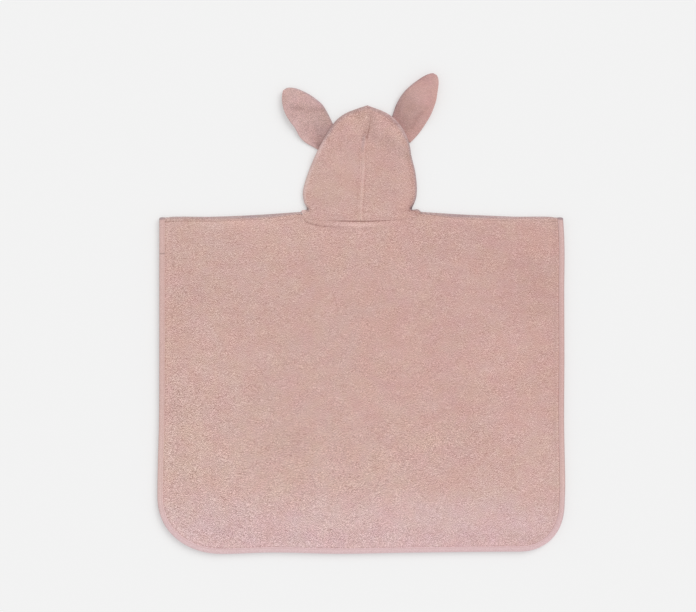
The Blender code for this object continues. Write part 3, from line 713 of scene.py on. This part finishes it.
# ---- binding tape
def rim_stations():
    """Stations round the square sheet, from the left shoulder along the hem to the right one.

    Columns are the side, and a share and a reach in from it and up from the hem: a distance
    goes from the tape's own inset, at share 0, to the reach, at share 1.
    """
    left_in, left_up = CORNERS[-1]
    right_in, right_up = CORNERS[1]
    share = np.linspace(0, 1, 31)[:-1]
    across = np.linspace(left_in - HALF_WIDTH, HALF_WIDTH - right_in, 165)[:-1]
    stretches = (
        (-1, 0, 0, 1, np.linspace(LENGTH, TAPE_JOIN + HALF_GAP, JOIN_STATIONS)),
        (-1, 0, 0, 1, np.linspace(TAPE_JOIN - HALF_GAP, left_up, 140)[:-1]),
        (-1, 0, 0, 1 - share, left_up),
        (-1, share, left_in, 0, 0),
        (-1, 1, HALF_WIDTH + across, 0, 0),
        (1, 1 - share, right_in, 0, 0),
        (1, 0, 0, share, right_up),
        (1, 0, 0, 1, np.linspace(right_up, LENGTH, 165)),
    )
    return join(*(xyz(*row) for row in stretches)).T[..., None]


def edge_binding(finish):
    """Tape of one U section round the back's edge, over both shoulders and round the front's.

    The section is the half table, mirrored.  Over a shoulder it turns about the roll's centre
    line.  A field along the tape puffs its middle a little.
    """
    inset, height, inner_inset, inner_height = TAPE_SECTION.values()
    middle = len(inset) - 1
    inset = join(inset[:0:-1], inset, inner_inset[::-1], inner_inset[1:])
    height = join(-height[:0:-1], height, inner_height[::-1], -inner_height[1:])
    side, share_in, reach_in, share_up, reach_up = rim_stations()
    inward = inset * (1 - share_in) + share_in * reach_in
    up = inset * (1 - share_up) + share_up * reach_up
    x, y = plan(side * (HALF_WIDTH - inward), up, roll_centre)
    angle = np.linspace(np.pi / 2, -np.pi / 2, 14)[1:-1, None]
    radius = BOUND_MIDDLE + height
    back, front = (xyz(x, y, BOUND_OUTER + turn * radius) for turn in (1, -1))
    rolls = [xyz(x[k], y[k] + radius * np.cos(angle), BOUND_OUTER + radius * np.sin(angle))
             for k in (-1, 0)]
    points = join(back[JOIN_STATIONS:], rolls[0], front[::-1], rolls[1][::-1], back[:JOIN_STATIONS])

    run = run_of(points[:, middle])[:, None]
    outside = np.arange(len(inset)) < 2 * middle + 1
    puff = TAPE_PUFF * field(run, inset, 14, 2) * outside * ease(inset, 0, 3) * ease(inset, 8, 6)
    points[..., 2] += puff * np.sign(height) * np.where(points[..., 2] > BOUND_OUTER, 1, -1)
    points[..., 2] = points[..., 2].clip(0)

    ids = grid_ids(points)
    half = np.arange(ids.shape[1] // 2)
    cap = halves(grid_quads(xyz(half, ids.shape[1] - 1 - half)))
    corners = join(tube(ids), cap, cap[:, ::-1] + ids[-1, 0])
    lie = xyz(run * MM, run_of(xyz(inset, height)) * MM, 0.0)

    x, y = on_plan(points)
    # painted shade on the tape's outer edge on the right and where it rolls over the shoulders; painted
    # light on its outer edge towards the hem
    right, low = ease(x, 235, 295), ease(y, -285, -350)
    shaded = right * (1 - low)
    cool = right * ease(y, -30, 80)
    high = ease(top_edge(x) - y, 4.6, 2.4)
    brink = dent(inset, 0.9) * outside
    # painted highlight on the lip, painted shade in the stitch line and at the outer bend
    tone = EVEN_TONE + 0.22 * bells(inset, TAPE_LIGHT_AND_SHADE) * outside
    tone = tone + (0.4 * low - 0.7 * shaded) * brink + 0.13 * cool - 0.9 * high
    edge = 0.1 * cool + 0.3 * brink * shaded + 0.6 * high
    piece = make_mesh("edge_binding_tape", points, corners, finish, run=lie, tone=tone, edge=edge)
    upper = points[:, middle + TAPE_STITCH]
    upper[:, 2] = upper[:, 2].clip(THREAD + 0.1)
    return piece, upper


# ---- hood
def ear_lie(side):
    """An ear's base and length, and its directions: along it and outwards."""
    base, tip = np.array(EARS[side]["base"]), np.array(EARS[side]["tip"])
    length = np.hypot(*(tip - base))
    axis = (tip - base) / length
    return base, length, axis, np.array([axis[1], -axis[0]]) * side


def ear_distance(x, y):
    """Distance from the nearest ear's base line."""
    away = []
    for side in EARS:
        base, *_, outward = ear_lie(side)
        reach = EAR_BASE_HALF * side * outward
        away.append(from_line(x, y, *(base - reach), *(base + reach)))
    return np.minimum(*away)


def hood_lift(x, y):
    """Height of the hood's underside: above the ears' bases, on the floor elsewhere."""
    return HOOD_LIFT * ease(ear_distance(x, y), EAR_BEARING + EAR_SLOPE, EAR_BEARING)


def hood_loft(y):
    """Hollow between the hood's two layers: it grows from the neck up."""
    return LOFT_NECK + (LOFT - LOFT_NECK) * smooth((y - LOFT_START) / LOFT_REACH)


def hood_rim(side):
    """Hood's edge from the neck point to the crown, with outward directions."""
    edge = join(xyz(HOOD[SIDE_NAMES[side]], HOOD["height"]), [APEX])
    run = run_of(edge)
    rim = along(np.linspace(0, run[-1], HOOD_STEPS), run, edge)
    neck = side * NECK_IN, top_edge(NECK_HALF) - NECK_TUCK
    rim = join([neck, NECK_FLARE[side]], rim)
    rim[-1] = APEX[0] + side * SEAM_HALF, APEX[1]
    ahead = np.gradient(rim, axis=0)
    out = xyz(ahead[:, 1], -ahead[:, 0]) * side
    out[-1] = 0, 1
    return rim, out / np.hypot(*out.T)[:, None]


def hood_relief(x, y):
    """What sewing does to the hood's upper face: its rise in millimetres, and its tone and edge tint,
    mostly painted light and shade.

    The centre seam is a ridge between fine grooves.  At the crown it lies in a pleat, whose lip
    stands over it on the right.
    """
    off = x - curve(y, *SEAM.values())
    straight = between(y, *SEAM_SPAN)
    ridge = straight * (0.6 * dent(off, 1.7) - 0.1 * dent(np.abs(off) - 3.8, 1.3))

    from_lip = x - curve(y, *CROWN_LIP.values())
    height = between(y, *PLEAT_SPAN) * (1 - 0.65 * ease(y, 272, 284))
    left = dent(np.minimum(from_lip + 3.5, 0), 4.5)
    pleat = height * (-0.3 * left * smooth(-from_lip / 0.9) + 0.25 * dent(from_lip - 2.2, 2.4))
    valley = between(y, *VALLEY_SPAN) * ease(from_lip, -10, -8.5) * smooth(-from_lip / 1.5)
    high = between(y, *CROWN_SPAN)
    neck, pull = y - back_neck(x), neck_pull(x)
    dip = seam_dip(neck, x, 1.3) * pull

    # painted highlight on the seam ridge, weaker towards the neck, with painted shade and light beside it
    seam_ridge_light = 0.62 - 0.34 * ease(y, 212, 238)
    cool = 0.3 * straight * ease(y, 232, 252) * dent(off + 1.8, 2.4)
    tone = straight * (seam_ridge_light * dent(off, 1.5) + bells(off, SEAM_LIGHT_AND_SHADE)) + 0.6 * cool
    # painted shade in the neck seam's dip and along it; painted light and shade on the pleat, painted
    # shade under its lip and in its valley, and a painted highlight on the crown left of the lip
    tone = tone - 0.2 * np.clip(dip, 0, 1) - (0.06 + 0.14 * pull) * dent(neck, 0.8)
    tone = tone + 0.1 * pleat - 0.9 * height * dent(from_lip + 0.5, 0.8) - 0.4 * valley
    tone = tone + 0.28 * high * dent(from_lip + 6.5, 1.9) + creases(x, y, CROWN_PAINTED_SHADE)
    return ridge + pleat - dip, tone, cool


def hood_half(side, finish):
    """Half a hood, from its neck edge to the crown.

    A row runs from the centre seam to the edge's fold and back underneath to the face opening.
    """
    stations = join([0.0, PINCH_SHARE / 2], np.linspace(PINCH_SHARE, 1, HOOD_STEPS))
    share = lines((0, PINCH_SHARE, 12), (PINCH_SHARE, 1, 160))
    rim, out = (along(share, stations, points) for points in hood_rim(side))
    out /= np.hypot(*out.T)[:, None]
    loft = hood_loft(rim[:, 1])
    outer = WALL + loft / 2
    fold = rim - out * outer[:, None]

    def sheet(start, end, t, neck):
        """Straight rows between two edges, eased into the neck's line by a cube of the share."""
        rows = start[:, None] * (1 - t[:, None]) + end[:, None] * t[:, None]
        return rows + (1 - share[:, None, None])**3 * (neck - rows[0])

    t = lines((0, 1, 84))
    from_fold = 1 - t
    seam_low = back_neck(0.0) + SEAM_HALF
    seam_y = seam_low + (SEAM_TOP - seam_low) * share
    seam_x = curve(seam_y, *SEAM.values()) + side * SEAM_HALF
    neck_x = fold[0, 0] * t + seam_x[0] * (1 - smooth(t / 0.08))
    upper = sheet(xyz(seam_x, seam_y), fold, t, xyz(neck_x, back_neck(neck_x) + SEAM_HALF))

    t = lines((0, 1, 40))
    neck_top = roll_centre(NECK_OUT)
    neck_drop = FRONT_NECK_DROP - HALF_GAP
    face_share = share**FACE_POWER
    face_y = neck_top - neck_drop + (FOREHEAD[1] - neck_top + neck_drop) * face_share
    face_half = FACE_HALF * np.sin(np.pi * face_share).clip(0)**FACE_POWER
    opening = xyz(FOREHEAD[0] * face_share + side * (HALF_GAP + face_half), face_y)
    front_x = side * np.maximum(NECK_IN * (1 - t), HALF_GAP)
    neck_front = xyz(front_x, neck_top - neck_drop * round_of(front_x, NECK_IN))
    turn = smooth(1 - t / (1 - NECK_TURN))[:, None]
    under = sheet(fold, opening, t, neck_front * (1 - turn) + fold[0] * turn)

    x, y = on_plan(upper)
    calm = smooth(from_fold / FOLD_CALM) * smooth((y - SWELL_START) / SWELL_REACH)
    inside_z = hood_lift(x, y) + WALL + hood_loft(y) + swells(x, y, HOOD_FOLDS) * calm
    relief, tint, cool = hood_relief(x, y)
    top_face = xyz(x, y, inside_z + WALL + relief * smooth(from_fold * 8))
    angle = np.linspace(np.pi / 2, -np.pi / 2, 13)[1:-1]
    middle_z = (hood_lift(*fold.T) + WALL + loft / 2)[:, None]

    def roll(radius):
        radius = radius[:, None]
        place = fold[:, None] + out[:, None] * (radius * np.cos(angle))[..., None]
        return xyz(*on_plan(place), middle_z + radius * np.sin(angle))

    floor_z = hood_lift(*on_plan(under))
    low_face, low_back = (xyz(*on_plan(under), floor_z + up) for up in (0, WALL))
    face = join(top_face, roll(outer), low_face, axis=1)
    back = join(xyz(x, y, inside_z), roll(outer - WALL), low_back, axis=1)

    loops = pile(face)
    # painted shade at the hood's neck corners and crown
    shades = swells(*on_plan(face), HOOD_PAINTED_SHADE)
    outer = outer[:, None]
    over = outer + np.linalg.norm(upper - fold[:, None], axis=-1)
    from_rim = join(over, outer * (1 - np.cos(angle)), 0 * floor_z, axis=1)
    crown = ease(rim[:, 1:], 250, 266)
    left, right = (side < 0) * (1 - crown), (side > 0) * (1 - crown)
    near = ease(from_rim, 8, 2)
    # painted light along the left rim; painted shade along the right rim, round the crown and in the neck
    # corners
    tone = EVEN_TONE + LOOP_TONE * loops + shades
    tone = tone + 0.82 * left * near - 0.2 * right * ease(from_rim, 13, 5)
    tone[:, :tint.shape[1]] += tint
    edge = (0.45 * crown + 0.62 * right) * ease(from_rim, 4.5 + 3.5 * crown, BRIM)
    edge = edge + 0.4 * np.clip(-shades - 0.5, 0, 1) + 0.28 * left * near
    edge[:, :cool.shape[1]] += cool
    edge[:, -under.shape[1]:] = 0
    face = lifted(face, PILE * loops, side > 0)
    return shell(f"hood_{SIDE_NAMES[side]}_cloth", face, back, finish, turned=side > 0,
                 tone=tone, edge=edge, loopy=loopiness(face))


# ---- ears
def ear(side, finish):
    """Two leaf-shaped pieces, one on the other, seamed round the edge.

    Each half width is the table's times sqrt(1 - share^2).  Each piece rounds towards the seam
    at its edge and swells in the middle.
    """
    lie, word = EARS[side], SIDE_NAMES[side]
    base, length, axis, outward = ear_lie(side)
    share = np.sin(np.linspace(np.arcsin(-EAR_TUCK), np.arcsin(EAR_TIP_SHARE), 85))[:, None]
    inner, outer = (curve(share, EAR_WIDTHS["share"], EAR_WIDTHS[word + edge])
                    for edge in ("_inner", "_outer"))
    station = np.sin(np.linspace(-np.pi / 2, np.pi / 2, 61))
    offset = np.where(station < 0, station * inner, station * outer) * np.sqrt(1 - share**2)
    x = base[0] + axis[0] * length * share + outward[0] * offset
    y = base[1] + axis[1] * length * share + outward[1] * offset

    clear = smooth((share - EAR_CLEAR) / EAR_RISE)
    puff = EAR_PUFF * clear * smooth((1 - share) / EAR_TAPER) * (1 - station**2)
    brim, point = 1 - np.abs(station), 1 - share

    def rounding(power, brim_reach, point_reach):
        """1 at the seam, falling by a power of the distance in from the brim or the tip."""
        flat = 1 - np.clip(1 - brim / brim_reach, 0, 1)**power
        return 1 - flat * (1 - np.clip(1 - point / point_reach, 0, 1)**power)

    edge = EAR_ROUND * smooth(rounding(1, EAR_EDGE, 0.12)) + 0.8 * rounding(2, 0.08, 0.025)
    rise = clear * (lie["middle"] + lie["outer"] * smooth((station + 1) / 2))
    fold = creases(x, y, EAR_CREASES[side]) * smooth(brim / 0.2)
    spot = xyz(x, y, rise)
    loops = pile(spot)
    even = EVEN_TONE + EAR_TONE * loops
    # painted shade in the creases and from the ears' table of painted shade
    tone = even + 0.15 * fold - swells(x, y, EAR_PAINTED_SHADE[side])
    # painted light along the outer rim of the left ear
    tone = tone + lie["pale_rim"] * ease(station, 0.6, 0.95)
    high = EAR_HEIGHT - edge + rise + puff + np.maximum(fold, EAR_FLOOR - EAR_WALL - puff)
    low = np.maximum(edge + rise - 0.1 * loops, 0)
    # painted shade on the rim of the ear's inner side
    brink = 0.42 * smooth(rounding(1, 0.2, 0.04)) * ease(station, 0.3, -0.3)
    kept = dict(edge=brink, loopy=loopiness(spot))
    back = shell(f"ear_{word}_back_cloth", xyz(x, y, high + EAR_PILE * loops),
                 xyz(x, y, EAR_WALL + GAP + rise), finish, turned=side > 0, tone=tone, **kept)
    front = shell(f"ear_{word}_front_cloth", xyz(x, y, low), xyz(x, y, EAR_WALL + rise), finish,
                  turned=side < 0, tone=even, **kept)
    return back, front


# ---- finishes
class Wire:
    """One socket of a material.  Arithmetic on it adds Math nodes; node() adds any other."""

    def __init__(self, tree, socket=None):
        self.tree, self.socket = tree, socket

    def node(self, kind, settings=(), sockets=(), out=0):
        """Add a node: its settings first, then its sockets, each a value or a wire."""
        made = self.tree.nodes.new("ShaderNode" + kind)
        for key, value in dict(settings).items():
            setattr(made, key, value)
        for key, value in dict(sockets).items():
            if isinstance(value, Wire):
                self.tree.links.new(value.socket, made.inputs[key])
            else:
                made.inputs[key].default_value = value
        return Wire(self.tree, made.outputs[out])

    def into(self, name):
        """Link the wire to one of the shader's sockets."""
        self.tree.links.new(self.socket, self.tree.nodes["Principled BSDF"].inputs[name])

    def maths(self, operation, first, second=0.0):
        return self.node("Math", {"operation": operation}, {0: first, 1: second})

    def __add__(self, other):
        return self.maths("ADD", self, other)

    def __sub__(self, other):
        return self.maths("SUBTRACT", self, other)

    def __rsub__(self, other):
        return self.maths("SUBTRACT", other, self)

    def __mul__(self, other):
        return self.maths("MULTIPLY", self, other)

    __radd__, __rmul__ = __add__, __mul__

    def place(self):
        """The point's own coordinates, in metres."""
        return self.node("TexCoord", out="Object")

    def kept(self, name, out="Fac"):
        """A value kept on the mesh's points."""
        return self.node("Attribute", {"attribute_name": name}, out=out)

    def noise(self, place, size, detail=2.0, roughness=0.5, distortion=0.0, out=0):
        """Noise from 0 to 1 with features of the given size in metres."""
        sockets = dict(Vector=place, Scale=1 / size, Detail=detail, Roughness=roughness,
                       Distortion=distortion)
        return self.node("TexNoise", {}, sockets, out)

    def stretched(self, place, times, shift=(0.0, 0.0, 0.0)):
        """A place times one vector plus another."""
        return self.node("VectorMath", {"operation": "MULTIPLY_ADD"},
                         {0: place, 1: times, 2: shift})

    def mixed(self, factor, first, second, blend="MIX"):
        """Two colours mixed."""
        return self.node("Mix", {"data_type": "RGBA", "blend_type": blend},
                         {0: factor, 6: first, 7: second}, out=2)

    def tinted(self, factor, body, red, green, blue):
        """A colour multiplied by a tint, as far as the factor goes."""
        return self.mixed(factor, body, (red, green, blue, 1.0), "MULTIPLY")

    def ramp(self, value, low, high, kind="SMOOTHSTEP"):
        """Step of a value from 0 at low to 1 at high."""
        return self.node("MapRange", {"interpolation_type": kind},
                         {"Value": value, "From Min": low, "From Max": high})

    def bump(self, strength, distance, height):
        return self.node("Bump", {}, dict(Strength=strength, Distance=distance, Height=height))


# Looks of the cloth.  Sizes are in metres.
TURNED_EDGE_SHADE = (0.56, 0.71, 0.85)  # painted shade on turned edges, a mauve tint
LOOP_SIZE = 0.0012
LOOP_STRETCH = (2.0, 1.0, 3.1)
LOOP_ROW = 0.0015  # from one row of loops to the next
ROW_SHADE = 0.12
SWAY = (0.0032, 0.0032, 0.0032)
SWAY_SIZE = 0.006
CRINKLE_SIZE = 0.0055
CRINKLE_PATCHES = 0.011
ROSY_SIZE = 0.04
BROWNER_SIZE = 0.03


def colour(red, green, blue):
    return (red, green, blue, 1.0)


def new_finish(name, constants):
    """A Principled material with constants on the shader's own sockets."""
    made = bpy.data.materials.new(name)
    made.use_nodes = True
    for key, value in constants.items():
        made.node_tree.nodes["Principled BSDF"].inputs[key].default_value = value
    return made, Wire(made.node_tree)


def terry(name, deep, tip, relief):
    """Looped cotton: pile height, fine loops and bright crinkles give tone, grain and bump.

    Each row of loops shades the rows above and below it, so rows lie across the cloth.
    Crinkles are thin bright lines where a bent noise crosses its middle value, in patches.
    Two slow noises make the cloth rosier here and browner there.
    """
    made, w = new_finish(name, {
        "Sheen Weight": 0.06, "Sheen Roughness": 0.6, "Sheen Tint": colour(1.0, 0.86, 0.82),
        "Specular IOR Level": 0.12})
    place = w.place()
    bent = w.stretched(w.noise(place, SWAY_SIZE, out="Color"), SWAY, place)

    def row(step):
        return w.noise(w.stretched(place, LOOP_STRETCH, (0.0, step, 0.0)), LOOP_SIZE, 1.0)

    loops = row(0.0) - ROW_SHADE * (row(LOOP_ROW) + row(-LOOP_ROW) - 1.0)
    specks = w.ramp(loops, 0.52, 0.80)
    strands = w.noise(bent, LOOP_SIZE * 1.4, 2.0, 0.6, 0.6) - 0.5
    crinkles = w.ramp(w.maths("ABSOLUTE", w.noise(bent, CRINKLE_SIZE, 1.0) - 0.5), 0.04, 0.0)
    bright = crinkles * w.ramp(w.noise(place, CRINKLE_PATCHES), 0.40, 0.56)
    # the tone attribute carries painted light and shade besides the pile's own tone
    grain = (w.kept("tone") * 0.4 + 0.26 + w.kept("loopy")
             * ((loops - 0.5) * 2.7 + specks * 0.48 + strands * 0.1 + bright * 0.15 - 0.06))
    body = w.mixed(w.ramp(grain, 0.0, 1.0, "LINEAR"), deep, tip)
    rosy = w.noise(place, ROSY_SIZE, 5.0, 0.7)
    browner = w.noise(bent, BROWNER_SIZE, 5.0, 0.7)
    body = w.tinted(w.ramp(rosy, 0.3, 0.7), body, 1.0, 0.92, 0.948)
    body = w.tinted(w.ramp(browner, 0.3, 0.7), body, 1.0, 0.994, 0.932)
    shaded(w, body).into("Base Color")
    (1.0 - bright * 0.1).into("Roughness")
    w.bump(relief, 0.0012, loops * 0.8 + strands * 0.7 + bright * 0.3).into("Normal")
    return made


def shaded(w, body):
    """A colour darkened towards mauve at turned edges by painted shade, rosier to the right, and paler
    and cooler at the hem by painted light.
    """
    # painted shade at turned edges, as far as the edge attribute goes
    body = w.tinted(w.kept("edge"), body, *TURNED_EDGE_SHADE)
    split = w.node("SeparateXYZ", {}, {0: w.place()}).socket.node
    across, height = (Wire(w.tree, out) for out in split.outputs[:2])
    rosy = w.ramp(across, -0.24, 0.24) * (1.0 - 0.6 * w.ramp(height, -0.1, -0.35))
    body = w.tinted(rosy, body, 1.0, 0.955, 0.965)
    # painted light: paler and cooler towards the hem
    body = w.tinted(w.ramp(height, -0.07, -0.40), body, 1.09, 1.155, 1.155)
    return w.tinted(w.ramp(height, -0.235, -0.33), body, 1.0, 1.0, 1.1)


def jersey(name, deep, middle, tip):
    """Knitted tape: fine ribs along its run, lighter where the tone is high; the tone is mostly painted
    light and shade.
    """
    made, w = new_finish(name, {
        "Sheen Weight": 0.12, "Sheen Roughness": 0.5, "Specular IOR Level": 0.18})
    ribs = w.noise(w.stretched(w.kept("run", "Vector"), (1.0, 3.0, 1.0)), 0.0016, 2.0, 0.5, 0.4)
    fuzz = w.noise(w.place(), 0.0009)
    grain = w.kept("tone") * 0.8 + ribs * 0.9 + fuzz - 0.89
    body = w.mixed(w.ramp(grain, 0.15, 0.5), deep, middle)
    body = w.mixed(w.ramp(grain, 0.45, 0.85), body, tip)
    shaded(w, body).into("Base Color")
    (0.84 + 0.12 * ribs).into("Roughness")
    w.bump(0.35, 0.0004, ribs * 0.8 + fuzz * 0.4).into("Normal")
    return made


def sewing_thread(name, shade, paler):
    """Twisted sewing thread, matt."""
    made, w = new_finish(name, {"Sheen Weight": 0.1})
    twist = w.noise(w.place(), 0.0007)
    w.mixed(twist, shade, paler).into("Base Color")
    (0.7 + 0.2 * twist).into("Roughness")
    return made


# ---- the poncho
loop_terry = terry("loop_terry", colour(0.362, 0.207, 0.182), colour(0.900, 0.672, 0.613), 0.3)
ear_terry = {
    -1: terry("sheared_terry_left", colour(0.40, 0.268, 0.254), colour(0.765, 0.545, 0.522), 0.28),
    1: terry("sheared_terry_right", colour(0.40, 0.252, 0.232), colour(0.765, 0.515, 0.482), 0.28),
}
knit_tape = jersey("jersey_tape", colour(0.52, 0.345, 0.315), colour(0.655, 0.442, 0.408),
                   colour(0.80, 0.60, 0.565))
rose_thread = sewing_thread("rose_thread", colour(0.62, 0.42, 0.39),
                            colour(0.7192, 0.4872, 0.4524))

front = front_panel(loop_terry)
back = back_panel(loop_terry)
tape, stitch_path = edge_binding(knit_tape)
hood = {side: hood_half(side, loop_terry) for side in (-1, 1)}
ears = {side: ear(side, ear_terry[side]) for side in (-1, 1)}

neck_x = np.linspace(-84, 84, 300)
neck_path = xyz(neck_x, neck_stitch(neck_x), BACK_Z + WALL + 0.1)
sewn = [threads("binding_stitches", stitch_path + [0, 0, 0.05], rose_thread),
        threads("neck_topstitch", neck_path, rose_thread)]

PIECES = (
    (front, "front_panel", "terry", (0.6, 0.51), 0.29),
    (back, "back_panel", "terry", (0.6, 0.5), 0.29, "front_panel_cloth"),
    (tape, "edge_binding", "tape", (0.021, 3.16), None, "front_panel_cloth"),
    (hood[-1], "hood_left", "terry", (0.16, 0.21), 0.022, "front_panel_cloth"),
    (hood[1], "hood_right", "terry", (0.16, 0.21), 0.022, "front_panel_cloth"),
    (ears[-1][0], "ear_left_back", "ear_terry", (0.06, 0.1), 0.0045, "ear_left_front_cloth"),
    (ears[-1][1], "ear_left_front", "ear_terry", (0.06, 0.1), 0.0045),
    (ears[1][0], "ear_right_back", "ear_terry", (0.056, 0.105), 0.0045, "ear_right_front_cloth"),
    (ears[1][1], "ear_right_front", "ear_terry", (0.056, 0.105), 0.0045),
)
for piece, node, slot, flat, area, *rests_on in PIECES:
    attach(piece, "root")
    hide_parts(node)
for piece in sewn:
    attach(piece, "root")


# ---- floor, light and camera
FLOOR_Z = -0.0002  # metres
scene = bpy.context.scene
scene.view_settings.view_transform = "Standard"
scene.view_settings.look = "None"

# Plain pale paint, glowing a little so that shadows stay light.
pale_floor = new_finish("pale_floor", {
    "Base Color": colour(0.62, 0.62, 0.62), "Roughness": 1.0, "Specular IOR Level": 0.0,
    "Emission Color": colour(1.0, 1.0, 1.0), "Emission Strength": 0.272})[0]
floor_mesh = bpy.data.meshes.new("floor")
floor_corners = [(x, y, FLOOR_Z) for x, y in ((-9, -9), (9, -9), (9, 9), (-9, 9))]
floor_mesh.from_pydata(floor_corners, [], [(0, 1, 2, 3)])
floor_mesh.materials.append(pale_floor)
floor = placed("floor", floor_mesh)

world = bpy.data.worlds.new("studio")
world.use_nodes = True
glow = world.node_tree.nodes["Background"].inputs
glow["Color"].default_value = colour(1.0, 1.0, 1.0)
glow["Strength"].default_value = 0.68
scene.world = world

key_light = bpy.data.lights.new("window", "SUN")
key_light.energy = 1.4
key_light.angle = 0.8
key = placed("window", key_light)
key.rotation_euler = (np.radians(-30.5), np.radians(33.4), 0.0)

lens = bpy.data.cameras.new("camera")
lens.lens = 104.5
lens.sensor_width = 36.0
lens.clip_end = 20.0
camera = placed("camera", lens)
camera.location = (-0.0196, 0.0114, 3.0)
scene.camera = camera
